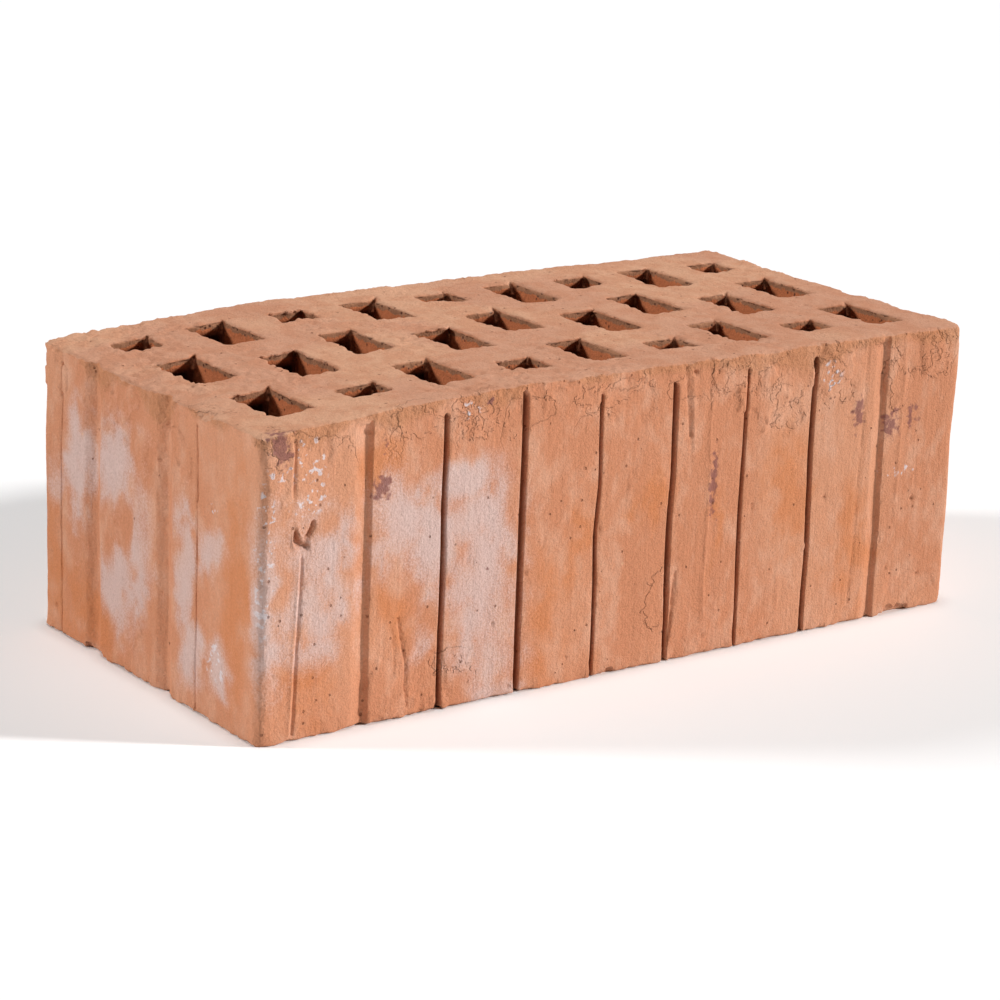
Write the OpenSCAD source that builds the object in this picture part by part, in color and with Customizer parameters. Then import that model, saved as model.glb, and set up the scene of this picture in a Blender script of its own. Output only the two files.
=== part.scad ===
// Perforated clay facing brick: a clay column pushed through a die, wire-cut to height and fired.
// Millimetres, +Z up. The origin is the centre of the lower bed; X runs along the length.
// The die gives one constant section, so the brick is that section extruded once.

/* [Body] */
// Length of the brick along X
brick_l = 250; // [200:1:300]
// Width of the brick along Y
brick_w = 120; // [100:1:150]
// Height of the brick between its two wire cuts
brick_h = 88; // [50:1:250]
// Radius of the four upright corners
corner_r = 3; // [0.5:0.5:7]

/* [Voids] */
// Number of columns of voids along the length
void_columns = 9; // [3:1:9]
// Size of every void along X
void_w = 13; // [8:0.5:18]
// Size of a long void along Y
long_void = 24; // [15:0.5:29]
// Size of a short void along Y
short_void = 10.5; // [7:0.5:22]
// Width cut off each side at the voids' upright corners
void_corner = 0.75; // [0.25:0.25:2.5]

/* [Walls] */
// Clay between an end face and the nearest column of voids
end_shell = 12.5; // [9:0.5:20]
// Clay between a long face and the long void nearest to it
long_shell = 14; // [9:0.5:18]
// Clay between a long face and the short void nearest to it
short_shell = 15.5; // [9:0.5:20]

/* [Grooves in the long faces] */
// Mouth width of a narrow groove
narrow_groove_w = 1.8; // [1.2:0.1:4]
// Depth of a narrow groove
narrow_groove_d = 2; // [0.5:0.1:3]
// Mouth width of the groove nearest to each end
wide_groove_w = 5; // [4:0.5:8]
// Depth of the groove nearest to each end
wide_groove_d = 1.5; // [0.5:0.1:4]
// Width of each sloping flank of a narrow groove
narrow_groove_flank = 0.3; // [0:0.1:0.5]
// Width of each sloping flank of a wide groove
wide_groove_flank = 1; // [0:0.1:1.5]

/* [Grooves in the end faces] */
// Mouth width of an end groove
end_groove_w = 7.5; // [5:0.5:8]
// Depth of an end groove
end_groove_d = 1; // [0.5:0.1:3]
// Width of each sloping flank of an end groove
end_groove_flank = 1; // [0:0.1:2]
// Distance of the end grooves from the middles of the webs behind them, towards +Y
end_groove_shift = 4; // [-5:0.5:5]

/* [Hidden] */
$fn = 48;
overlap = 1; // how far a cut runs past the face that it opens
terracotta = [0.77, 0.49, 0.35];

// Columns share out the length left between the end shells.
void_pitch = (brick_l - 2 * end_shell - void_w) / (void_columns - 1);
first_column_x = -brick_l / 2 + end_shell + void_w / 2;

// Webs across the width share out what the shells and voids leave.
web = (brick_w - long_shell - short_shell - 2 * long_void - short_void) / 2;
outer_void_y = -brick_w / 2 + long_shell + long_void / 2;
middle_void_y = outer_void_y + long_void + web;
short_void_y = middle_void_y + long_void / 2 + web + short_void / 2;

// The grooves in the end faces follow the middles of the webs in the end columns.
first_web_y = outer_void_y + (long_void + web) / 2;
second_web_y = middle_void_y + (long_void + web) / 2;

// Rectangle about the origin with round corners.
module rounded_rect(size_x, size_y, r) {
    square([size_x - 2 * r, size_y], center = true);
    square([size_x, size_y - 2 * r], center = true);
    for (sx = [-1, 1])
        for (sy = [-1, 1])
            translate([sx * (size_x / 2 - r), sy * (size_y / 2 - r)])
                circle(r);
}

// Rectangle about the origin with its corners cut off at 45 degrees.
module chamfered_rect(size_x, size_y, cut) {
    x = size_x / 2;
    y = size_y / 2;
    polygon([
        [cut - x, -y],
        [x - cut, -y],
        [x, cut - y],
        [x, y - cut],
        [x - cut, y],
        [cut - x, y],
        [-x, y - cut],
        [-x, cut - y]
    ]);
}

// Trapezoid cut into the face on the line y = 0, with the clay on its +Y side.
module groove(mouth, depth, flank) {
    polygon([
        [-mouth / 2, -overlap],
        [mouth / 2, -overlap],
        [mouth / 2, 0],
        [mouth / 2 - flank, depth],
        [flank - mouth / 2, depth],
        [-mouth / 2, 0]
    ]);
}

// The three voids of one column, with the long ones towards -Y.
module void_column() {
    translate([0, outer_void_y])
        chamfered_rect(void_w, long_void, void_corner);
    translate([0, middle_void_y])
        chamfered_rect(void_w, long_void, void_corner);
    translate([0, short_void_y])
        chamfered_rect(void_w, short_void, void_corner);
}

// Every second column is turned round, so long and short voids alternate along each long face.
module voids() {
    for (i = [0 : void_columns - 1])
        translate([first_column_x + i * void_pitch, 0])
            mirror([0, i % 2])
                void_column();
}

// One groove midway between each two columns, the first and last of them wide.
module long_face_grooves() {
    for (i = [0 : void_columns - 2])
        translate([first_column_x + (i + 0.5) * void_pitch, -brick_w / 2])
            if (i == 0 || i == void_columns - 2)
                groove(wide_groove_w, wide_groove_d, wide_groove_flank);
            else
                groove(narrow_groove_w, narrow_groove_d, narrow_groove_flank);
}

module end_face_grooves() {
    for (y = [first_web_y, second_web_y])
        translate([-brick_l / 2, y + end_groove_shift])
            rotate(-90)
                groove(end_groove_w, end_groove_d, end_groove_flank);
}

module section() {
    difference() {
        rounded_rect(brick_l, brick_w, corner_r);
        voids();
        for (side = [0, 1]) {
            mirror([0, side])
                long_face_grooves();
            mirror([side, 0])
                end_face_grooves();
        }
    }
}

module brick() {
    color(terracotta)
        linear_extrude(brick_h)
            section();
}

brick();
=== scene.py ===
"""A perforated clay facing brick: its fired surface, wear and stains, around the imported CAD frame.

The brick is one fired piece, so it is one mesh. It starts as the die's section, sampled as a distance field,
and is then crowned, torn, scratched and pitted as wire-cut clay is. Lengths here are millimetres in the
frame's axes: X along the brick, Y across it, Z up, with the origin at the centre of the lower bed.
"""
from math import cos, radians, sin

import bpy
import numpy as np
from mathutils import Matrix, Vector


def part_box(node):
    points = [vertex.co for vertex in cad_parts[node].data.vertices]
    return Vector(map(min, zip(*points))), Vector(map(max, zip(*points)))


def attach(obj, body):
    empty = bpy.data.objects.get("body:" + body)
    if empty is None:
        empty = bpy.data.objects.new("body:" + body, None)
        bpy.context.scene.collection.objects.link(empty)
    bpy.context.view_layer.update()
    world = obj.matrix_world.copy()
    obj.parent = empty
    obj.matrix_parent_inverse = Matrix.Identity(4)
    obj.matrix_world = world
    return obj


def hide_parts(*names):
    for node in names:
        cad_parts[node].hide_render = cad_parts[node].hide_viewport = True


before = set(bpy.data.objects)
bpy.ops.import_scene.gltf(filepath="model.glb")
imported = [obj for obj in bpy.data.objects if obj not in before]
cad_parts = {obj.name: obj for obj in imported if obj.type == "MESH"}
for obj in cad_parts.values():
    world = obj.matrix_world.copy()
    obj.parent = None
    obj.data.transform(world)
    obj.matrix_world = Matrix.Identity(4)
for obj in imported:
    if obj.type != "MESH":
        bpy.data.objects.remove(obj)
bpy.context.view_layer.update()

MM = 0.001
node_low, node_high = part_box("brick")
LENGTH, WIDTH, HEIGHT = [(high - low) / MM for low, high in zip(node_low, node_high)]
FRONT, BACK = -WIDTH / 2, WIDTH / 2
LEFT, RIGHT = -LENGTH / 2, LENGTH / 2

# ---------------------------------------------------------------- the die's section, as in the CAD model

CORNER_R = 3.0
VOID_COLUMNS = 9
VOID_W, LONG_VOID, SHORT_VOID = 13.0, 24.0, 10.5
VOID_R = 1.0  # about the die's 0.75 mm flats, rounded off
END_SHELL, LONG_SHELL, SHORT_SHELL = 12.5, 14.0, 15.5
WEB = (WIDTH - LONG_SHELL - SHORT_SHELL - 2 * LONG_VOID - SHORT_VOID) / 2
PITCH = (LENGTH - 2 * END_SHELL - VOID_W) / (VOID_COLUMNS - 1)
FIRST_COLUMN_X = LEFT + END_SHELL + VOID_W / 2
OUTER_VOID_Y = FRONT + LONG_SHELL + LONG_VOID / 2
MIDDLE_VOID_Y = OUTER_VOID_Y + LONG_VOID + WEB
SHORT_VOID_Y = MIDDLE_VOID_Y + LONG_VOID / 2 + WEB + SHORT_VOID / 2

# Mouth, depth and both flanks of each groove in a long face, from the left. The narrow ones vary about
# 1.8 mm, and the worn die pressed the wide ones with one flank gentler than the other.
LONG_GROOVES = [(5.8, 1.4, 3.8, 1.0), (1.9, 2.4, 0.4, 0.3), (2.3, 2.5, 0.6, 0.3), (1.4, 2.2, 0.3, 0.2),
                (2.1, 2.4, 0.5, 0.3), (1.5, 2.2, 0.3, 0.2), (2.0, 2.4, 0.4, 0.3), (5.2, 1.3, 3.4, 0.9)]
# How far below the upper bed the wire dragged each of them shut.
GROOVE_CLOSURES = [1.5, 3.5, 1.5, 4.5, 4.5, 2.5, 2.5, 1.0]
GROOVE_XS = [FIRST_COLUMN_X + (i + 0.5) * PITCH for i in range(VOID_COLUMNS - 1)]
END_GROOVE = (8.5, 1.7, 3.6, 3.2)
END_GROOVE_SHIFT = 4.0
END_GROOVE_YS = [y + (LONG_VOID + WEB) / 2 + END_GROOVE_SHIFT for y in (OUTER_VOID_Y, MIDDLE_VOID_Y)]


def void_list():
    """Centre (x, y) and size (x, y) of each void."""
    found = []
    for i in range(VOID_COLUMNS):
        turned = -1 if i % 2 else 1
        x = FIRST_COLUMN_X + i * PITCH
        for y, size in ((OUTER_VOID_Y, LONG_VOID), (MIDDLE_VOID_Y, LONG_VOID), (SHORT_VOID_Y, SHORT_VOID)):
            found.append(((x, turned * y), (VOID_W, size)))
    return found


# ---------------------------------------------------------------- noise

LATTICE = 64
FAR_OFF = 1000.37  # keeps every sample on the lattice's positive side


def value_noise(points, cell, seed):
    """Smooth random values from -1 to 1 at points (n, 3), with bumps about one cell (x, y, z) across."""
    table = np.random.default_rng(seed).uniform(-1, 1, (LATTICE, LATTICE, LATTICE)).astype(np.float32)
    at = np.asarray(points, dtype=np.float32) / np.asarray(cell, dtype=np.float32) + FAR_OFF
    low = np.floor(at)
    part = at - low
    part = part * part * (3 - 2 * part)
    low = low.astype(np.int32) % LATTICE
    high = (low + 1) % LATTICE
    flat = table.ravel()
    total = np.zeros(len(at), dtype=np.float32)
    for ix, wx in ((low[:, 0], 1 - part[:, 0]), (high[:, 0], part[:, 0])):
        for iy, wy in ((low[:, 1], 1 - part[:, 1]), (high[:, 1], part[:, 1])):
            row = (ix * LATTICE + iy) * LATTICE
            lower, upper = flat[row + low[:, 2]], flat[row + high[:, 2]]
            total += wx * wy * ((1 - part[:, 2]) * lower + part[:, 2] * upper)
    return total


def layered_noise(points, cell, seed, layers=2):
    """value_noise with finer, weaker layers added."""
    cell = np.asarray(cell, dtype=float)
    return sum(value_noise(points, cell / 2 ** i, seed + i) / 2 ** i for i in range(layers))


def smooth_step(low, high, x):
    """0 before low, 1 past high, and smooth between. With low above high it falls instead."""
    t = np.clip((x - low) / (high - low), 0, 1)
    return t * t * (3 - 2 * t)


def plan_noise(xs, ys, cell, seed, layers=2):
    """layered_noise over a plan grid, as an (x, y) array."""
    gx, gy = np.meshgrid(xs, ys, indexing="ij")
    points = np.stack([gx.ravel(), gy.ravel(), np.zeros(gx.size)], 1)
    return layered_noise(points, (cell, cell, 1), seed, layers).reshape(gx.shape)


# ---------------------------------------------------------------- the solid as a distance field

COARSE = 1.0  # widens every sampling step while trying things
PLAN_STEP = 0.55 * COARSE
GROOVE_STEP = 0.32 * COARSE  # across the grooves of the long faces
HAIRLINE_STEP = 0.22 * COARSE  # across the hairlines of the left end
BED_STEP = 0.4 * COARSE
MIDDLE_STEP = 0.9 * COARSE  # half way up
BED_ZONE = 8.0  # depth of the finely sampled zone at each bed
HAIRLINE_YS = [-27.3, 48.5]
RIDGE_X = -113.5  # of the scratch that runs down beside the near corner


def graded_axis(low, high, coarse, fine_zones):
    """Sample positions from low to high, with a finer step in each zone (middle, reach, step)."""
    found = [low]
    while found[-1] < high:
        steps = [step for middle, reach, step in fine_zones if abs(found[-1] - middle) < reach]
        found.append(found[-1] + min(steps, default=coarse))
    return np.array(found)


def sample_axes():
    margin = 2 * PLAN_STEP
    x_zones = [(x, 3.2 if i in (0, 7) else 2.0, GROOVE_STEP) for i, x in enumerate(GROOVE_XS)]
    x_zones.append((RIDGE_X, 2.5, GROOVE_STEP))
    y_zones = [(y, 1.0, HAIRLINE_STEP) for y in HAIRLINE_YS] + [(y, 3.0, BED_STEP) for y in (FRONT, BACK)]
    z_zones = [(z, BED_ZONE, BED_STEP) for z in (0, HEIGHT)]
    xs = graded_axis(LEFT - margin + 0.017, RIGHT + margin, PLAN_STEP, x_zones)
    ys = graded_axis(FRONT - margin + 0.011, BACK + margin, PLAN_STEP, y_zones)
    zs = graded_axis(-2 * BED_STEP + 0.013, HEIGHT + 2 * BED_STEP, MIDDLE_STEP, z_zones)
    return xs, ys, zs


def rounded_box(x, y, centre, size, r):
    """Signed distance in plan to a rectangle with round corners, negative inside it."""
    qx = np.abs(x - centre[0]) - (size[0] / 2 - r)
    qy = np.abs(y - centre[1]) - (size[1] / 2 - r)
    outside = np.hypot(np.maximum(qx, 0), np.maximum(qy, 0))
    return outside + np.minimum(np.maximum(qx, qy), 0) - r


def groove(across, inward, shape):
    """Signed distance to a groove's section, negative inside it. across runs over its mouth, and inward runs
    into the clay from the face."""
    mouth, depth, low_flank, high_flank = shape
    low, high = low_flank / depth, high_flank / depth
    low_wall = (-across - mouth / 2 + low * inward) / np.hypot(1, low)
    high_wall = (across - mouth / 2 + high * inward) / np.hypot(1, high)
    return np.maximum(np.maximum(low_wall, high_wall), inward - depth)


def void_section(x, y):
    """Signed distance in plan to the nearest void, negative inside it."""
    nearest = np.full(np.broadcast(x, y).shape, 1e3)
    for centre, size in void_list():
        nearest = np.minimum(nearest, rounded_box(x, y, centre, size, VOID_R))
    return nearest


def corner_tears(x, y):
    """Signed distance in plan to the short cracks that run out of the voids' far corners."""
    nearest = np.full(np.broadcast(x, y).shape, 1e3)
    lengths = np.random.default_rng(5).uniform(2.0, 5.5, 27)
    turns = np.random.default_rng(6).uniform(0.7, 1.25, 27)
    for (centre, size), length, turn in zip(void_list(), lengths, turns):
        start_x, start_y = centre[0] + size[0] / 2 - 0.8, centre[1] + size[1] / 2 - 0.8
        along = (x - start_x) * cos(turn) + (y - start_y) * sin(turn)
        across = np.abs((y - start_y) * cos(turn) - (x - start_x) * sin(turn))
        half_width = 1.1 * np.clip(1 - along / length, 0, 1)
        nearest = np.minimum(nearest, np.maximum(across - half_width, np.maximum(-along, along - length)))
    return nearest


# Middle, radii and depth of bite of the chips along the arrises.
CHIPS = [
    ((104, FRONT, -1), (6, 2.2, 4)), ((-8, FRONT, -1), (4, 1.6, 2.4)),
    ((-123, FRONT + 1, 89), (2.4, 1.8, 1.6)), ((LEFT, 30, -1), (2, 6, 2.6)),
    ((LEFT, -12, -1), (1.8, 4, 2.2)), ((LEFT, -30, 89), (2, 7, 3)),
    ((LEFT, 52, 90), (1.4, 4, 2)), ((46, FRONT, 91), (7, 1.6, 3.2)), ((118, FRONT, 91), (5, 2, 3.6)),
    ((-60, BACK, 90), (5, 2, 3)), ((20, BACK, 91), (6, 2, 3)), ((95, BACK, 91), (8, 2.2, 3.2)),
    ((RIGHT, 20, 90), (2, 8, 3)), ((RIGHT, -35, -1), (2, 5, 3)), ((RIGHT, 45, -1), (2, 4, 2.4)),
    ((-40, BACK, -1), (5, 2, 3)), ((70, BACK, -1), (4, 1.6, 2)),
]


def bite_chips(field, axes):
    """Takes the chips out of the field, each with a broken, uneven floor."""
    for seed, (middle, radii) in enumerate(CHIPS):
        spans = [np.nonzero(np.abs(axis - m) < 1.5 * r)[0] for axis, m, r in zip(axes, middle, radii)]
        part = np.ix_(*spans)
        grid = np.meshgrid(*[axis[s] for axis, s in zip(axes, spans)], indexing="ij")
        points = np.stack([g.ravel() for g in grid], 1)
        reach = np.sqrt(sum(((g - m) / r) ** 2 for g, m, r in zip(grid, middle, radii)))
        uneven = 0.35 * layered_noise(points, (2.5, 2.5, 2.5), 60 + seed).reshape(reach.shape)
        bite = (1 - reach + uneven) * min(radii)
        field[part] = np.maximum(field[part], bite)


TEAR_DEPTH = 3.5  # of the cracks at the voids' corners, below the upper bed
CRUMB_FADE = 1.2  # depth over which the ragged outlines at a bed die out


def solid_field(axes):
    """Signed distance to the brick, negative in the clay, with worn arrises, torn rims and closed groove
    ends."""
    xs, ys, zs = axes
    x, y = xs[:, None], ys[None, :]
    outline = rounded_box(x, y, (0, 0), (LENGTH, WIDTH), CORNER_R)
    end_cuts = np.full(outline.shape, 1e3)
    for side in (-1, 1):
        for gy in END_GROOVE_YS:
            end_cuts = np.minimum(end_cuts, groove(y - gy, LENGTH / 2 - side * x, END_GROOVE))
    long_cuts = []
    for gx, shape, closure in zip(GROOVE_XS, LONG_GROOVES, GROOVE_CLOSURES):
        cut = np.minimum(groove(x - gx, y - FRONT, shape), groove(x - gx, BACK - y, shape))
        long_cuts.append((cut, closure))
    voids = void_section(x, y)
    tears = corner_tears(x, y)

    left_part = smooth_step(30, -40, x) + 0 * y
    rim_high = np.clip(1.3 - 0.8 * left_part + 0.6 * plan_noise(xs, ys, 9, 11), 0.25, 2.2)
    rim_low = np.clip(1.0 + 0.6 * plan_noise(xs, ys, 7, 12), 0.3, 2.0)
    ragged = 1.2 * plan_noise(xs, ys, 1.6, 15)
    crumbs = 0.8 * plan_noise(xs, ys, 2.2, 13, 3) + 0.35 * plan_noise(xs, ys, 12, 14)
    field = np.empty((len(xs), len(ys), len(zs)), dtype=np.float32)
    for k, z in enumerate(zs):
        below_bed = HEIGHT - z
        clay = np.maximum(outline, -end_cuts)
        for cut, closure in long_cuts:
            shut = smooth_step(closure + ragged + 1.5, closure + ragged - 1.0, below_bed)
            clay = np.maximum(clay, -cut - 4 * shut)
        clay = np.maximum(clay, -voids)
        if below_bed < TEAR_DEPTH:
            clay = np.maximum(clay, -tears - 0.15 * below_bed)
        # A round arris: the distance to the corner that the wall and the bed make, both moved in by r.
        bed, r = (-below_bed, rim_high) if z > HEIGHT / 2 else (-z, rim_low)
        wall = clay + crumbs * np.exp(bed / CRUMB_FADE)
        a, b = wall + r, bed + r
        field[:, :, k] = np.minimum(np.maximum(a, b), 0) + np.hypot(np.maximum(a, 0), np.maximum(b, 0)) - r
    bite_chips(field, axes)
    return field


# ---------------------------------------------------------------- surface from the field


def crossing_edges(field, axes, axis):
    """Grid edges along axis on which the field changes sign: their low ends, crossing points and whether the
    clay lies at the low end."""
    low = [slice(None)] * 3
    high = [slice(None)] * 3
    low[axis], high[axis] = slice(None, -1), slice(1, None)
    a, b = field[tuple(low)], field[tuple(high)]
    where = np.nonzero((a < 0) != (b < 0))
    va, vb = a[where], b[where]
    ends = np.stack(where, 1)
    points = np.stack([axes[n][ends[:, n]] for n in range(3)], 1)
    step = axes[axis][ends[:, axis] + 1] - axes[axis][ends[:, axis]]
    points[:, axis] += step * va / (va - vb)
    return ends, points, va < 0


def surface_nets(field, axes):
    """Vertices and quads of the closed surface where the field is zero: one vertex for each cell that the
    surface passes through, and one quad for each grid edge that it crosses."""
    cells = np.array(field.shape) - 1
    stride = np.array([cells[1] * cells[2], cells[2], 1])
    all_rings, all_points, quads = [], [], []
    for axis in range(3):
        ends, points, clay_low = crossing_edges(field, axes, axis)
        u, v = (axis + 1) % 3, (axis + 2) % 3
        ring = []
        for du, dv in ((0, 0), (1, 0), (1, 1), (0, 1)):
            cell = ends.copy()
            cell[:, u] -= du
            cell[:, v] -= dv
            ring.append(cell @ stride)
        ring = np.stack(ring, 1)
        all_rings.append(ring.ravel())
        all_points.append(np.repeat(points, 4, axis=0))
        quads.append(np.where(clay_low[:, None], ring, ring[:, ::-1]))
    ids, index = np.unique(np.concatenate(all_rings), return_inverse=True)
    points = np.concatenate(all_points)
    share = np.bincount(index)
    verts = np.stack([np.bincount(index, points[:, n]) / share for n in range(3)], 1)
    return verts, np.searchsorted(ids, np.concatenate(quads))


def vertex_normals(verts, quads):
    across = np.cross(verts[quads[:, 2]] - verts[quads[:, 0]], verts[quads[:, 3]] - verts[quads[:, 1]])
    normals = np.zeros_like(verts)
    for corner in range(4):
        for n in range(3):
            normals[:, n] += np.bincount(quads[:, corner], across[:, n], minlength=len(verts))
    return normals / np.maximum(np.linalg.norm(normals, axis=1, keepdims=True), 1e-9)


# ---------------------------------------------------------------- the clay's own shape

CROWN_X = -35.0  # where along the brick the upper bed stands highest
CROWN_PEAK = 1.6
CROWN_DROP_LEFT, CROWN_DROP_RIGHT = 8.0, 0.8
CROWN_EDGE_LIFT = 0.3  # how much the long edges stand above the middle
CROWN_LIMIT = 2.5  # over the nominal level, for the highest grains


def crown(x, y):
    """Height of the upper bed over its nominal level."""
    along = (x - CROWN_X) / (LENGTH / 2)
    drop = np.where(along < 0, CROWN_DROP_LEFT, CROWN_DROP_RIGHT)
    return CROWN_PEAK - drop * along ** 2 + CROWN_EDGE_LIFT * (y / (WIDTH / 2)) ** 2


def distance_to_path(u, v, path):
    """Distance in a face from points (u, v) to a chain of straight stretches."""
    nearest = np.full(u.shape, 1e3)
    for (u0, v0), (u1, v1) in zip(path, path[1:]):
        du, dv = u1 - u0, v1 - v0
        t = np.clip(((u - u0) * du + (v - v0) * dv) / (du * du + dv * dv), 0, 1)
        nearest = np.minimum(nearest, np.hypot(u - u0 - t * du, v - v0 - t * dv))
    return nearest


# Marks in the front face as (x, z) paths, and in the left end as (y, z) paths: path, half width, depth.
# A negative depth is a ridge.
FRONT_MARKS = [
    ([(-114.4, 85), (-114.9, 76), (-115, 70)], 0.6, 0.5),
    ([(-115.6, 85), (-116.1, 76), (-116.2, 70)], 0.5, -0.25),
    ([(-111.8, 52), (-112, 46), (-112.8, 30), (-113.6, 14), (-114.2, 2)], 0.6, 0.6),
    ([(-113, 52), (-113.2, 46), (-114, 30), (-114.8, 14), (-115.4, 2)], 0.5, -0.25),
    ([(-113.6, 60.4), (-115.2, 58.6), (-114.8, 56), (-113.2, 54.8)], 0.6, -0.5),
    ([(-114, 59.4), (-114.2, 57.4), (-112.4, 55.6), (-110.2, 54.6)], 0.8, 1.4),
    ([(-108.4, 61), (-109.6, 58.4), (-110.8, 57)], 0.8, 1.4),
    ([(-113, 58.8), (-111.6, 57.6), (-109.6, 56.4)], 0.5, -0.6),
    ([(-80.2, 29), (-79, 22), (-77.4, 15), (-77.8, 9), (-76.6, 3)], 0.5, 0.6),
    ([(-82.6, 27), (-81.4, 20), (-81.8, 12)], 0.4, 0.35),
    ([(17, 86), (17.8, 78), (19, 66)], 0.6, 0.5),
    ([(19.2, 85), (19.8, 74), (20.6, 62)], 0.5, -0.35),
    ([(13.6, 3), (15, 14), (16.4, 26)], 0.7, 0.7),
    ([(27, 88), (26.4, 66), (27.4, 42), (26.8, 10)], 0.5, -0.3),
    ([(86.4, 86), (86.2, 60), (85.4, 30), (84.6, 6)], 0.5, 0.35),
    ([(101.4, 84), (102.2, 58), (101.6, 30)], 0.5, -0.3),
]
LEFT_MARKS = [
    ([(-27, 84), (-27.6, 60), (-27.2, 30), (-27.4, 1)], 0.35, 0.5),
    ([(48.2, 86), (48.6, 56), (48.9, 28), (49, 1)], 0.35, 0.5),
    ([(-28, 61.5), (-33, 62.5), (-36, 60.5), (-42, 61), (-46, 63.5), (-49.5, 62)], 0.6, -0.35),
    ([(20, 50), (15, 38), (13, 24)], 0.5, -0.25),
    ([(6, 24), (2, 12), (-2, 2)], 0.4, -0.25),
]
# Flakes and scabs on the front face: middle (x, z), radii, height of the step at their edge.
FRONT_FLAKES = [
    ((47, 74), (10, 7), 0.5), ((55, 68), (6, 5), -0.4), ((73, 79), (8, 8), 0.45), ((78, 73), (5, 3), -0.4),
    ((112, 80), (8, 6), 0.45), ((99, 73), (4, 7), 0.4), ((33, 82), (7, 4), 0.4), ((-22, 82), (9, 5), 0.35),
    ((-50, 80), (10, 6), -0.3), ((-108, 82), (6, 5), -0.4), ((-120, 82), (6, 9), 0.35),
    ((-2, 78), (8, 6), -0.3),
    ((-70, 12), (10, 9), -0.3), ((-84, 8), (9, 7), 0.3), ((24, 12), (9, 8), 0.25), ((110, 8), (9, 5), -0.3),
    ((-112, 68), (7, 5), 0.25), ((4, 52), (7, 9), 0.2),
]


# The ends borrow the first few flakes, moved along so that they fall on the narrower face.
END_FLAKES, END_FLAKE_SHIFT = FRONT_FLAKES[:6], 60


def flake_relief(u, v, points, flakes, seed):
    """Low steps with broken outlines."""
    ragged = layered_noise(points, (5, 5, 5), seed, 3)
    relief = np.zeros(len(u))
    for (mu, mv), (ru, rv), step in flakes:
        reach = np.hypot((u - mu) / ru, (v - mv) / rv) + 0.55 * ragged
        relief += step * smooth_step(1.0, 0.93, reach)
    return relief


def mark_relief(u, v, marks):
    relief = np.zeros(len(u))
    for path, half_width, depth in marks:
        relief -= depth * smooth_step(1.3 * half_width, 0.3 * half_width, distance_to_path(u, v, path))
    return relief


def pit_relief(points, count, seed):
    """Small round pits, and some grains standing proud, scattered over the points' box."""
    random = np.random.default_rng(seed)
    relief = np.zeros(len(points))
    low, high = points.min(0), points.max(0)
    for _ in range(count):
        middle = random.uniform(low, high)
        radius = random.uniform(0.6, 1.3)
        depth = random.choice([0.55, 0.7, -0.3]) * radius
        near = np.nonzero((np.abs(points - middle) < radius).all(1))[0]
        reach = np.linalg.norm(points[near] - middle, axis=1) / radius
        relief[near] -= depth * smooth_step(1, 0.2, reach)
    return relief


def face_vertices(verts, normals, axis, sign):
    """Indices of the vertices of the outer face that looks along axis with sign."""
    place = verts[:, axis] * sign
    limit = (LENGTH / 2, WIDTH / 2)[axis] - 2.6
    return np.nonzero((place > limit) & (normals[:, axis] * sign > 0.3))[0]


def side_relief(verts, normals):
    """Relief of the four upright faces: a torn band under the wire cut, drag lines, flakes, marks and
    pits."""
    relief = np.zeros(len(verts))
    for axis, sign, seed in ((1, -1, 100), (1, 1, 200), (0, -1, 300), (0, 1, 400)):
        at = face_vertices(verts, normals, axis, sign)
        points = verts[at]
        u, v = points[:, 1 - axis], points[:, 2]
        found = 0.16 * layered_noise(points, (14, 14, 22), seed)
        found += 0.07 * layered_noise(points, (1.5, 1.5, 18), seed + 4)
        found += 0.05 * value_noise(points, (1.6, 1.6, 1.6), seed + 6)
        band = 5 + 3 * value_noise(points, (16, 16, 400), seed + 7)
        torn = smooth_step(band + 1.2, band - 1.2, HEIGHT - v)
        found += torn * (0.28 * layered_noise(points, (3.5, 3.5, 2.2), seed + 8, 3) - 0.15)
        rough_foot = smooth_step(7, 1, v)
        found += rough_foot * 0.18 * layered_noise(points, (3, 3, 3), seed + 12, 2)
        flip = 1 if sign < 0 else -1
        flakes, shift = (FRONT_FLAKES, 0) if axis == 1 else (END_FLAKES, END_FLAKE_SHIFT)
        found += flake_relief(u * flip + shift, v, points, flakes, seed + 20)
        marks = FRONT_MARKS if axis == 1 else LEFT_MARKS
        if sign < 0:
            found += mark_relief(u, v, marks)
        found += pit_relief(points, 90 if axis == 1 else 45, seed + 30)
        relief[at] += found
    return relief


def bed_relief(verts, normals):
    """Relief of the wire-cut beds: soft dents, faint drag lines, crumbs, and lips at the voids' rims."""
    relief = np.zeros(len(verts))
    for sign, seed in ((1, 500), (-1, 600)):
        near_bed = (verts[:, 2] - HEIGHT / 2) * sign > HEIGHT / 2 - 3
        at = np.nonzero((normals[:, 2] * sign > 0.45) & near_bed)[0]
        points = verts[at]
        found = 0.34 * layered_noise(points, (11, 15, 10), seed)
        found += 0.03 * layered_noise(points, (1.1, 16, 4), seed + 4)
        crumbly = smooth_step(0.0, 0.5, value_noise(points, (20, 20, 10), seed + 7))
        found += (0.1 + 0.3 * crumbly) * layered_noise(points, (1.8, 1.8, 1.8), seed + 8)
        rim = np.exp(-np.maximum(void_section(points[:, 0], points[:, 1]), 0) / 1.6)
        found += rim * (0.2 + 0.5 * value_noise(points, (9, 9, 10), seed + 12))
        found += rim * 0.35 * layered_noise(points, (2.2, 2.2, 2.2), seed + 14)
        found += pit_relief(points, 160, seed + 30)
        relief[at] += found
    return relief


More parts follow.
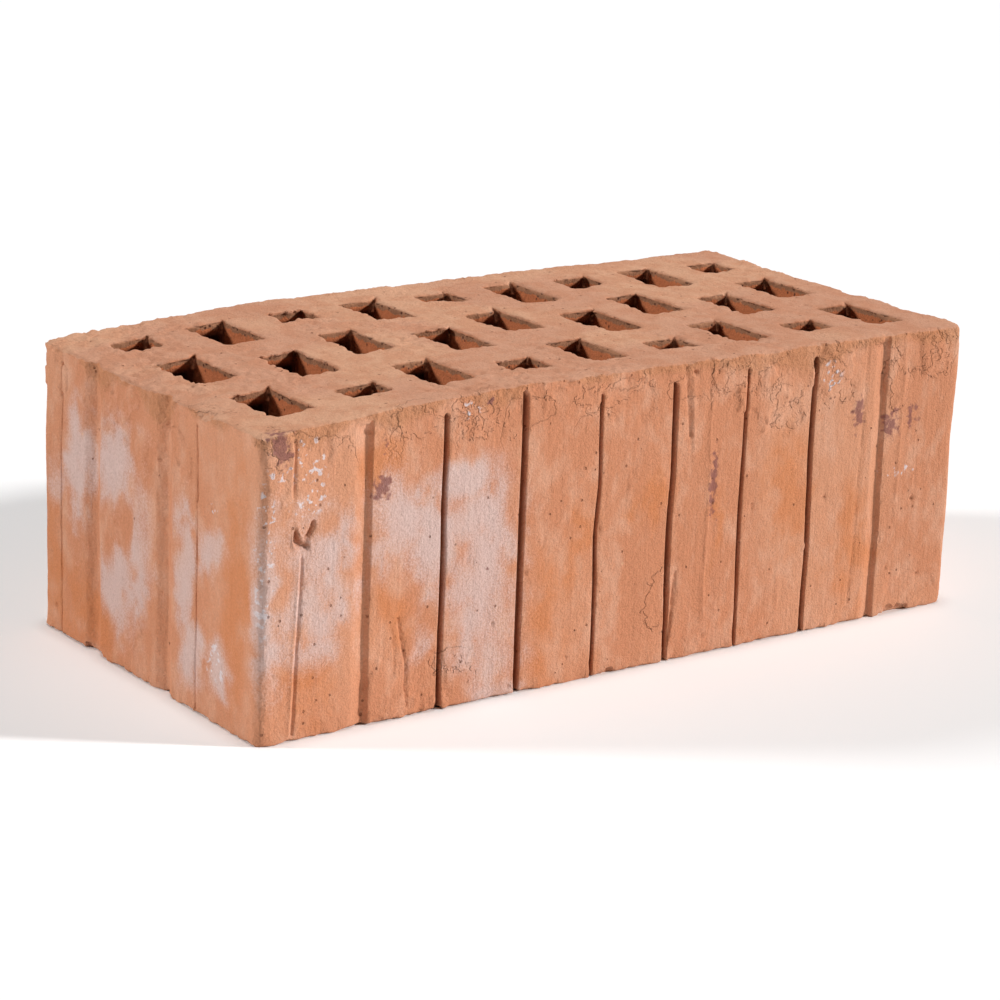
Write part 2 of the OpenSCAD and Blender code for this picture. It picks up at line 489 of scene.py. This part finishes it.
def shape_clay(verts, normals):
    """Moves the nominal surface to the crowned, uneven one of a wire-cut, fired brick."""
    x, y, z = verts.T
    inner = smooth_step(6, 9, np.minimum(LENGTH / 2 - np.abs(x), WIDTH / 2 - np.abs(y)))
    wall = inner * (1 - np.abs(normals[:, 2]))
    relief = side_relief(verts, normals) + bed_relief(verts, normals)
    inside = np.nonzero(wall > 0.3)[0]
    relief[inside] += 0.15 * value_noise(verts[inside], (9, 9, 60), 41)
    out = verts + normals * relief[:, None]
    out[:, 0] += 0.4 * value_noise(verts, (40, 40, 16), 31)
    out[:, 2] += z / HEIGHT * crown(x, y)
    out[:, 2] = np.clip(out[:, 2], 0, HEIGHT + CROWN_LIMIT)
    return out


# ---------------------------------------------------------------- where the stains are

# Salt bloom, as ellipsoids (middle, radii).
BLOOM_PATCHES = [
    ((-110, FRONT, 46), (17, 9, 26)), ((-122, FRONT, 44), (8, 9, 32)), ((-104, FRONT, 28), (12, 9, 20)),
    ((-80, FRONT, 55), (14, 9, 20)), ((-70, FRONT, 48), (12, 9, 20)), ((-54, FRONT, 44), (18, 9, 34)),
    ((-50, FRONT, 18), (16, 9, 28)), ((-74, FRONT, 20), (6, 9, 13)), ((-60, FRONT, 64), (14, 9, 8)),
    ((LEFT, 53, 46), (9, 8, 11)), ((LEFT, 40, 54), (10, 11, 24)), ((LEFT, 17, 60), (9, 15, 18)),
    ((LEFT, 2, 46), (9, 11, 26)), ((LEFT, 14, 24), (9, 16, 20)), ((LEFT, -20, 40), (9, 9, 26)),
    ((LEFT, -35, 47), (9, 10, 9)), ((LEFT, -24, 16), (9, 10, 13)), ((LEFT, -40, 17), (9, 9, 10)),
]
# Places inside the bloom where the clay shows through.
BARE_PATCHES = [
    ((-102, FRONT, 14), (13, 7, 11)), ((-86, FRONT, 30), (7, 7, 12)), ((-84, FRONT, 12), (9, 7, 14)),
    ((LEFT, 12, 44), (7, 6, 10)), ((LEFT, -32, 30), (7, 6, 10)), ((-61, FRONT, 80), (24, 7, 10)),
    ((-107, FRONT, 60), (5, 7, 5)), ((LEFT, 24, 12), (7, 10, 8)), ((LEFT, 20, 40), (7, 5, 12)),
    ((-118, FRONT, 44), (4, 7, 9)), ((LEFT, 6, 66), (7, 5, 6)),
]
PURPLE_PATCHES = [
    ((-119, FRONT, 83), (4.4, 5, 6.5)), ((-86.5, FRONT, 67), (3.2, 5, 4.4)), ((-87, FRONT, 79), (1.2, 5, 3)),
    ((-52.4, FRONT, 87), (1.6, 5, 1.4)), ((98, FRONT, 61), (3.8, 5, 5.4)), ((84, FRONT, 66), (2.6, 5, 7)),
    ((29, FRONT, 52), (1.8, 5, 12)), ((106, FRONT, 62), (2, 5, 5)), ((-51.7, FRONT, 39.4), (1.2, 5, 1.0)),
    ((54.7, FRONT, 16.9), (1.2, 5, 1.0)), ((23, FRONT, 66.5), (0.7, 5, 1.6)), ((-70, BACK, 50), (5, 5, 7)),
    ((60, BACK, 30), (3, 5, 5)), ((RIGHT, 10, 60), (5, 4, 6)), ((RIGHT, -30, 30), (5, 3, 4)),
]
ORANGE_PATCHES = [
    ((5, FRONT, 51), (8, 5, 11)), ((-108, FRONT, 18), (12, 5, 16)), ((-84, FRONT, 34), (8, 5, 16)),
    ((LEFT, 30, 12), (5, 24, 18)), ((LEFT, -48, 40), (6, 9, 40)), ((LEFT, 54, 20), (5, 9, 24)),
    ((31, FRONT, 40), (3, 5, 20)), ((84, FRONT, 24), (10, 5, 24)), ((-30, FRONT, 20), (8, 5, 26)),
    ((-20, FRONT, 40), (6, 5, 20)), ((30, BACK, 40), (30, 6, 30)), ((-86, FRONT, 72), (12, 5, 10)),
    ((-80, BACK, 20), (25, 6, 20)), ((RIGHT, 0, 30), (6, 30, 24)), ((58, FRONT, 44), (10, 5, 24)),
]
FLECK_PATCHES = [
    ((-109, FRONT, 78), (6, 5, 9)), ((-118, FRONT, 76), (7, 5, 3)), ((-111, FRONT, 67), (8, 5, 4)),
    ((-123, FRONT, 55), (3, 6, 34)), ((-58, FRONT, 86), (4, 5, 3)), ((72, FRONT, 79), (6, 5, 6)),
    ((LEFT, -39, 18), (5, 7, 7)), ((102, FRONT, 46), (10, 5, 2)), ((LEFT, -34, 62), (5, 9, 1.6)),
]
# Outlines of scabs and flakes of clay on the front face and, unseen in front, on the others.
SCAB_PATCHES = [
    ((46, FRONT, 74), (9, 6, 8)), ((55, FRONT, 69), (7, 6, 4)), ((72, FRONT, 80), (6, 6, 8)),
    ((77, FRONT, 72), (6, 6, 4)), ((100, FRONT, 74), (4, 6, 9)), ((114, FRONT, 80), (9, 6, 7)),
    ((-56, FRONT, 84), (11, 6, 6)), ((-36, FRONT, 80), (9, 6, 5)), ((33, FRONT, 85), (8, 6, 4)),
    ((-12, FRONT, 84), (14, 6, 4)), ((-76, FRONT, 84), (8, 6, 5)), ((-118, FRONT, 84), (7, 6, 6)),
    ((10, FRONT, 20), (5, 6, 9)), ((-62, FRONT, 10), (8, 6, 8)), ((LEFT, -30, 86), (6, 9, 3)),
    ((-30, BACK, 78), (14, 6, 8)), ((60, BACK, 70), (12, 6, 12)), ((RIGHT, 20, 76), (6, 14, 10)),
]


def depth_in_patches(points, places, wander):
    """How deep each point lies in the nearest of several ellipsoids: 1 at a centre, 0 at an edge."""
    nearest = np.full(len(points), 2.0)
    for centre, radii in places:
        offset = (points + wander - np.array(centre)) / np.array(radii)
        nearest = np.minimum(nearest, np.linalg.norm(offset, axis=1))
    return 1 - nearest


def stain_places(points, below):
    """What the material needs to know of the stains at each vertex. Salt, orange and torn are covers from 0
    to 1, fleck, purple and scab are depths in the patches, and tint and crack are plain noise."""
    wander = np.stack([layered_noise(points, (8, 8, 8), seed, 3) for seed in (71, 81, 91)], 1)
    cloud = 0.3 * layered_noise(points, (3.5, 3.5, 3.5), 101, 2)
    bloom = depth_in_patches(points, BLOOM_PATCHES, 3.2 * wander) + cloud
    bare = depth_in_patches(points, BARE_PATCHES, 3.2 * wander) + cloud
    thin = smooth_step(-0.9, 0.6, layered_noise(points, (16, 16, 32), 104, 3))
    orange = depth_in_patches(points, ORANGE_PATCHES, 3.2 * wander) + cloud
    scab = depth_in_patches(points, SCAB_PATCHES, 2.2 * wander) + cloud
    torn_reach = 3.5 + 5 * layered_noise(points, (15, 15, 30), 107, 3)
    covered = smooth_step(-0.3, 0.8, bloom) * (1 - 0.85 * smooth_step(-0.1, 0.7, bare))
    return {
        "salt": covered * (0.5 + 0.5 * thin),
        "orange": smooth_step(-0.1, 0.7, orange),
        "scab": np.minimum(scab, value_noise(points, (12, 12, 12), 110) + 0.2),
        "crack": value_noise(points, (8, 8, 6), 114),
        "torn": smooth_step(-1.5, 1.5, torn_reach - below),
        "tint": layered_noise(points, (42, 42, 67), 111, 3),
        "fleck": depth_in_patches(points, FLECK_PATCHES, 1.4 * wander),
        "purple": depth_in_patches(points, PURPLE_PATCHES, wander),
    }


# ---------------------------------------------------------------- the mesh

TRIANGLES = 190_000


def mesh_object(name, verts, faces):
    mesh = bpy.data.meshes.new(name)
    mesh.vertices.add(len(verts))
    mesh.vertices.foreach_set("co", (verts * MM).astype(np.float32).ravel())
    size = faces.shape[1]
    mesh.loops.add(faces.size)
    mesh.loops.foreach_set("vertex_index", faces.ravel().astype(np.int32))
    mesh.polygons.add(len(faces))
    mesh.polygons.foreach_set("loop_start", np.arange(0, faces.size, size, dtype=np.int32))
    mesh.update(calc_edges=True)
    mesh.validate()
    obj = bpy.data.objects.new(name, mesh)
    bpy.context.scene.collection.objects.link(obj)
    return obj


def apply_modifiers(obj):
    """Replaces the object's mesh by what its modifiers make of it."""
    scene_graph = bpy.context.evaluated_depsgraph_get()
    made = bpy.data.meshes.new_from_object(obj.evaluated_get(scene_graph))
    obj.modifiers.clear()
    old = obj.data
    obj.data = made
    bpy.data.meshes.remove(old)
    made.name = obj.name


def store_places(mesh):
    """Gives each vertex what the material needs: whether it lies in a void, the painted shade on the floors
    of narrow grooves, in corner cracks and in deep scratches, how far it is below the upper bed, and its
    stains."""
    co = np.empty(3 * len(mesh.vertices), dtype=np.float32)
    mesh.vertices.foreach_get("co", co)
    x, y, z = (co.reshape(-1, 3) / MM).T
    void = smooth_step(2.2, 0.6, void_section(x, y))
    below = HEIGHT + crown(x, y) - z
    # Painted shade on the floors of the narrow grooves, in the corner cracks and in the deepest front
    # scratches.
    painted_crevice_shade = np.zeros(len(x), dtype=np.float32)
    inward = WIDTH / 2 - np.abs(y)
    for gx, (mouth, depth, *flanks) in zip(GROOVE_XS, LONG_GROOVES):
        within = (np.abs(x - gx) < mouth / 2 + 0.5) & (inward < depth + 1) & (below > 1)
        painted_crevice_shade += smooth_step(0.7, 1.6, inward) * within * (0.0 if mouth > 3 else 1.0)
    tears = smooth_step(0.3, -0.1, corner_tears(x, y)) * (below > 0.15) * (below < 4)
    painted_crevice_shade = np.maximum(painted_crevice_shade, tears)
    on_front = y < FRONT + 3
    for path, half_width, depth in FRONT_MARKS:
        if depth > 0.9:
            found = smooth_step(1.2 * half_width, 0.2, distance_to_path(x[on_front], z[on_front], path))
            painted_crevice_shade[on_front] = np.maximum(painted_crevice_shade[on_front], 0.7 * found)
    places = {"void_wall": void, "below_bed": below, "painted_crevice_shade": painted_crevice_shade}
    places.update(stain_places(np.stack([x, y, z], 1), below))
    for name, values in places.items():
        mesh.attributes.new(name, "FLOAT", "POINT").data.foreach_set("value", values.astype(np.float32))


def build_brick():
    axes = sample_axes()
    verts, quads = surface_nets(solid_field(axes), axes)
    verts = shape_clay(verts, vertex_normals(verts, quads))
    brick = mesh_object("fired_brick", verts, quads)
    thin_out = brick.modifiers.new("thin_out", "DECIMATE")
    thin_out.ratio = TRIANGLES / (2 * len(quads))
    apply_modifiers(brick)
    brick.data.shade_smooth()
    brick.modifiers.new("weigh_normals", "WEIGHTED_NORMAL")
    apply_modifiers(brick)
    store_places(brick.data)
    return brick


# ---------------------------------------------------------------- material


class Tree:
    """Builds a material's nodes, one call each. An input is a number, a tuple or another node's output."""

    def __init__(self, material):
        material.use_nodes = True
        self.tree = material.node_tree
        self.tree.nodes.clear()

    def node(self, kind, inputs=(), **settings):
        made = self.tree.nodes.new(kind)
        for key, value in settings.items():
            setattr(made, key, value)
        for key, value in dict(inputs).items():
            self.feed(made.inputs[key], value)
        return made

    def feed(self, socket, value):
        if isinstance(value, bpy.types.NodeSocket):
            self.tree.links.new(value, socket)
        else:
            socket.default_value = value

    def math(self, operation, *values):
        return self.node("ShaderNodeMath", enumerate(values), operation=operation).outputs[0]

    def vector(self, operation, *values, scale=None):
        inputs = dict(enumerate(values))
        if scale is not None:
            inputs["Scale"] = scale
        made = self.node("ShaderNodeVectorMath", inputs, operation=operation)
        return made.outputs["Value" if operation == "DOT_PRODUCT" else "Vector"]

    def noise(self, at, size, detail=2.0, stretch=(1, 1, 1), roughness=0.5):
        """Noise with features about size millimetres across, longer along axes with a greater stretch."""
        scaled = self.vector("MULTIPLY", at, tuple(1 / (size * s) for s in stretch))
        inputs = {"Vector": scaled, "Scale": 1.0, "Detail": detail, "Roughness": roughness}
        return self.node("ShaderNodeTexNoise", inputs).outputs["Fac"]

    def ramp(self, value, low, high, to_low=0.0, to_high=1.0):
        """Smooth step of value from low to high."""
        inputs = {"Value": value, "From Min": low, "From Max": high, "To Min": to_low, "To Max": to_high}
        return self.node("ShaderNodeMapRange", inputs, interpolation_type="SMOOTHSTEP").outputs["Result"]

    def mix(self, factor, a, b, blend="MIX"):
        made = self.node("ShaderNodeMix", data_type="RGBA", blend_type=blend)
        sockets = {s.identifier: s for s in made.inputs}
        for key, value in (("Factor_Float", factor), ("A_Color", a), ("B_Color", b)):
            self.feed(sockets[key], value)
        return next(s for s in made.outputs if s.identifier == "Result_Color")

    def stored(self, name):
        """A value stored at each vertex."""
        return self.node("ShaderNodeAttribute", attribute_name=name).outputs["Fac"]

    def spots(self, at, cell, radius, share, seed):
        """Small round spots, one in some of the cells: 1 in a spot, 0 outside."""
        moved = self.vector("ADD", at, (seed, 2 * seed, 3 * seed))
        cells = self.node("ShaderNodeTexVoronoi", {"Vector": moved, "Scale": 1 / cell})
        chance = self.node("ShaderNodeSeparateColor", {"Color": cells.outputs["Color"]}).outputs["Red"]
        wanted = self.math("LESS_THAN", chance, share)
        near = self.ramp(cells.outputs["Distance"], radius / cell, 0.5 * radius / cell)
        return self.math("MULTIPLY", wanted, near)


def rgb(red, green, blue):
    """Linear colour, with alpha, of an sRGB colour given from 0 to 255."""
    parts = [c / 255 for c in (red, green, blue)]
    return tuple(c / 12.92 if c <= 0.04045 else ((c + 0.055) / 1.055) ** 2.4 for c in parts) + (1.0,)


CLAY_DEEP, CLAY_MAIN, CLAY_PALE = rgb(204, 137, 102), rgb(211, 149, 115), rgb(216, 162, 133)
CLAY_ORANGE = rgb(206, 128, 80)
BED_PINK, BED_TAN, BED_DEEP = rgb(203, 150, 122), rgb(211, 160, 129), rgb(190, 124, 90)
# The third colour here is painted shade for the voids' walls.
VOID_WALL, VOID_BAND, VOID_PAINTED_SHADE = rgb(206, 122, 80), rgb(170, 120, 90), rgb(46, 20, 12)
SALT, PURPLE, SOOT = rgb(212, 188, 182), rgb(132, 84, 80), rgb(92, 56, 42)
# The second colour here is painted shade for the floors of grooves, cracks and deep scratches.
TORN_CLAY, PAINTED_CREVICE_SHADE = rgb(190, 130, 90), rgb(124, 68, 42)
# The first colour here is a painted shadow line under the torn lip at the voids' rims.
PAINTED_LIP_SHADOW, DRAG_LINE, WHITE_FLECK = rgb(74, 44, 32), rgb(180, 106, 72), rgb(222, 212, 214)
# The first colour here is painted shade for the floors of the bump's pits.
PAINTED_PIT_SHADE, PALE_GRIT = rgb(136, 82, 56), rgb(226, 176, 140)
PIT_SEED = 8.1  # the bump's pits and the painted shade in them share it, so that they coincide


def clay_colour(t, at, top):
    """Colour of the clay body before salt and stains."""
    tint = t.stored("tint")
    mottled = t.noise(at, 7, 3, stretch=(1, 1, 1.7), roughness=0.6)
    clay = t.mix(t.ramp(tint, -0.5, 0.5), CLAY_DEEP, CLAY_MAIN)
    clay = t.mix(t.ramp(mottled, 0.42, 0.74, 0, 0.8), clay, CLAY_PALE)
    bed = t.mix(t.ramp(tint, -0.3, 0.4), BED_PINK, BED_TAN)
    bed = t.mix(t.ramp(mottled, 0.62, 0.36, 0, 0.4), bed, BED_DEEP)
    return t.mix(top, clay, bed)


def void_colour(t, clay, at, normal, inside, below):
    """Redder, cleaner clay inside the voids, under a dusty band and, at the rim, a painted shadow line under
    the wire's torn lip. Painted shade darkens the walls farther down, and sooner those facing +X, +Y and -Y."""
    facing = t.node("ShaderNodeSeparateXYZ", {"Vector": normal})
    # Painted shade: the walls that face +X, +Y and -Y darken from 1.5 mm down, and all walls from 5 mm down.
    painted_shade = t.math("MAXIMUM", facing.outputs["X"], t.math("ABSOLUTE", facing.outputs["Y"]))
    painted_shade = t.math("MULTIPLY", t.ramp(painted_shade, 0.3, 0.8), t.ramp(below, 1.5, 4.5))
    ragged = t.math("ADD", below, t.math("MULTIPLY", t.noise(at, 2.4, 3), 3.0))
    wall = t.mix(t.math("MAXIMUM", painted_shade, t.ramp(below, 5, 12)), VOID_WALL, VOID_PAINTED_SHADE)
    wall = t.mix(t.ramp(ragged, 3.6, 3.0), wall, VOID_BAND)
    wall = t.mix(t.math("MULTIPLY", t.spots(at, 2.2, 0.55, 0.5, 2.9), t.ramp(below, 4, 2)), wall, SOOT)
    # Painted shadow line just below the rim, under the torn lip that the wire left.
    lip_shadow_reach = t.math("MULTIPLY_ADD", t.noise(at, 2.8, 3), 3.4, -1.15)
    lip_shadow = t.ramp(t.math("SUBTRACT", lip_shadow_reach, below), 0.0, 0.2, 0, 0.8)
    wall = t.mix(lip_shadow, wall, PAINTED_LIP_SHADOW)
    return t.mix(t.math("MULTIPLY", inside, t.ramp(below, 0.2, 0.7)), clay, wall)


def surface_height(t, at, powder, crumb, drag, torn, flaky):
    """Fine relief in millimetres, for the bump."""
    off_crack = t.math("ABSOLUTE", t.math("MULTIPLY_ADD", crumb, 0.3, t.stored("crack")))
    grain = t.noise(at, 1.8, 4, roughness=0.65)
    parts = [
        t.math("MULTIPLY", powder, 0.24),
        t.math("MULTIPLY", grain, t.math("MULTIPLY_ADD", torn, 0.6, 0.45)),
        t.math("MULTIPLY", drag, 0.18),
        t.math("MULTIPLY", t.spots(at, 4, 0.5, 0.5, PIT_SEED), -0.45),
        t.math("MULTIPLY", t.ramp(t.math("MULTIPLY_ADD", crumb, 0.5, t.stored("scab")), 0.0, 0.12), 0.45),
        t.math("MULTIPLY", flaky, t.ramp(off_crack, 0.08, 0.02, 0, -0.3)),
    ]
    total = parts[0]
    for part in parts[1:]:
        total = t.math("ADD", total, part)
    return total


def fired_clay():
    """The brick's material: the clay body, then the salt bloom, stains, painted shade in the voids,
    grooves and pits, and fine relief over it.
    """
    material = bpy.data.materials.new("fired_clay")
    t = Tree(material)
    at = t.vector("SCALE", t.node("ShaderNodeTexCoord").outputs["Object"], scale=1 / MM)
    normal = t.node("ShaderNodeNewGeometry").outputs["Normal"]
    top = t.ramp(t.math("ABSOLUTE", t.vector("DOT_PRODUCT", normal, (0, 0, 1))), 0.35, 0.8)
    inside, below, painted_crevice_shade = t.stored("void_wall"), t.stored("below_bed"), t.stored("painted_crevice_shade")
    crumb = t.math("MULTIPLY_ADD", t.noise(at, 2.0, 2), 2.0, -1.0)
    powder = t.noise(at, 0.6, 2, roughness=0.7)
    drag = t.noise(at, 1.3, 2, stretch=(1, 1, 22))
    outer = t.math("MULTIPLY", t.math("SUBTRACT", 1.0, top), t.math("SUBTRACT", 1.0, inside))
    torn = t.math("MULTIPLY", t.stored("torn"), outer)
    along_y = t.math("ABSOLUTE", t.vector("DOT_PRODUCT", normal, (0, 1, 0)))
    flaky = t.math("MULTIPLY", t.math("MULTIPLY", t.ramp(below, 20, 6), outer), t.ramp(along_y, 0.6, 0.95))

    clay = clay_colour(t, at, top)
    clay = t.mix(t.math("MULTIPLY", t.stored("orange"), 0.7), clay, CLAY_ORANGE)
    clay = t.mix(t.math("MULTIPLY", torn, 0.55), clay, TORN_CLAY)
    clay = void_colour(t, clay, at, normal, inside, below)
    clay = t.mix(t.ramp(drag, 0.58, 0.75, 0, 0.15), clay, DRAG_LINE)
    dusty = t.math("MULTIPLY_ADD", powder, 0.7, -0.35)
    salt = t.ramp(t.math("ADD", t.stored("salt"), dusty), 0.08, 1.0, 0, 0.8)
    salt = t.math("MULTIPLY", salt, t.math("SUBTRACT", 1.0, painted_crevice_shade))
    clay = t.mix(salt, clay, SALT)
    # Painted shade in the narrow grooves, corner cracks and deepest scratches.
    clay = t.mix(t.math("MULTIPLY", painted_crevice_shade, 0.8), clay, PAINTED_CREVICE_SHADE)

    flecks = t.math("MULTIPLY", t.ramp(t.stored("fleck"), 0.0, 0.4), t.ramp(crumb, 0.1, 0.28))
    clay = t.mix(t.math("MULTIPLY", flecks, 0.8), clay, WHITE_FLECK)
    stain = t.ramp(t.math("MULTIPLY_ADD", crumb, 1.4, t.stored("purple")), 0.0, 0.6, 0, 0.8)
    clay = t.mix(stain, clay, PURPLE)
    clay = t.mix(t.math("MULTIPLY", t.spots(at, 9, 0.5, 0.5, 3.7), 0.6), clay, SOOT)
    # Painted shade in the bump's pits.
    clay = t.mix(t.math("MULTIPLY", t.spots(at, 4, 0.45, 0.5, PIT_SEED), 0.6), clay, PAINTED_PIT_SHADE)
    clay = t.mix(t.math("MULTIPLY", t.spots(at, 11, 0.6, 0.4, 5.3), 0.5), clay, PALE_GRIT)
    clay = t.mix(1.0, clay, t.mix(powder, (0.76, 0.76, 0.76, 1), (1.2, 1.2, 1.2, 1)), "MULTIPLY")

    height = surface_height(t, at, powder, crumb, drag, torn, flaky)
    bump = t.node("ShaderNodeBump", {"Strength": 1.0, "Distance": MM, "Height": height}).outputs["Normal"]
    shader = t.node(
        "ShaderNodeBsdfPrincipled",
        {"Base Color": clay, "Roughness": 0.9, "Specular IOR Level": 0.15, "Normal": bump},
    )
    t.node("ShaderNodeOutputMaterial", {"Surface": shader.outputs[0]})
    return material


def plain_material(name, colour, roughness):
    material = bpy.data.materials.new(name)
    t = Tree(material)
    shader = t.node("ShaderNodeBsdfPrincipled", {"Base Color": colour, "Roughness": roughness})
    t.node("ShaderNodeOutputMaterial", {"Surface": shader.outputs[0]})
    return material


# ---------------------------------------------------------------- floor, light and camera

FLOOR_REACH = 20000.0
DIFFUSE_FULL = 3.1416  # sunlight strength that shows a white surface facing it as white


def add_floor():
    corners = [(-1, -1, 0), (1, -1, 0), (1, 1, 0), (-1, 1, 0)]
    floor = mesh_object("floor", FLOOR_REACH * np.array(corners, dtype=float), np.array([[0, 1, 2, 3]]))
    floor.data.materials.append(plain_material("floor_paper", rgb(250, 250, 250), 0.9))


def add_soft_light(name, direction, spread, share):
    """Even soft light from a direction, spread over an angle in degrees."""
    light = bpy.data.lights.new(name, "SUN")
    light.angle = radians(spread)
    light.energy = share * DIFFUSE_FULL
    obj = bpy.data.objects.new(name, light)
    obj.rotation_euler = (-Vector(direction)).to_track_quat("-Z", "Y").to_euler()
    bpy.context.scene.collection.objects.link(obj)


def add_lights():
    add_soft_light("right_light", (0.81, -0.60, 0.42), 5, 1.03)
    add_soft_light("left_light", (-0.82, 0.55, 0.44), 10, 0.62)
    add_soft_light("top_light", (0, 0, 1), 8, 0.41)
    world = bpy.data.worlds.new("studio")
    world.use_nodes = True
    background = world.node_tree.nodes["Background"]
    background.inputs["Color"].default_value = (1, 1, 1, 1)
    background.inputs["Strength"].default_value = 0.035
    bpy.context.scene.world = world
    bpy.context.scene.view_settings.view_transform = "Standard"


CAMERA_PLACE = (-546.6, -734.4, 306.6)
CAMERA_YAW, CAMERA_PITCH, CAMERA_ROLL = radians(53.51), radians(-16.50), radians(2.12)
FOCAL_LENGTH = 114.4


def add_camera():
    """Camera with its yaw counted from +X, its pitch from level and its roll about the view axis."""
    level_part = cos(CAMERA_PITCH)
    forward = Vector((level_part * cos(CAMERA_YAW), level_part * sin(CAMERA_YAW), sin(CAMERA_PITCH)))
    level = forward.cross(Vector((0, 0, 1))).normalized()
    upright = level.cross(forward)
    right = cos(CAMERA_ROLL) * level + sin(CAMERA_ROLL) * upright
    up = cos(CAMERA_ROLL) * upright - sin(CAMERA_ROLL) * level
    camera = bpy.data.objects.new("camera", bpy.data.cameras.new("camera"))
    turn = Matrix((right, up, -forward)).transposed()
    camera.matrix_world = Matrix.LocRotScale(Vector(CAMERA_PLACE) * MM, turn.to_quaternion(), None)
    camera.data.lens = FOCAL_LENGTH
    camera.data.sensor_width = 36
    camera.data.clip_start = 0.01
    bpy.context.scene.collection.objects.link(camera)
    bpy.context.scene.camera = camera


brick = build_brick()
brick.data.materials.clear()
brick.data.materials.append(fired_clay())
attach(brick, "root")
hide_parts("brick")

add_floor()
add_lights()
add_camera()
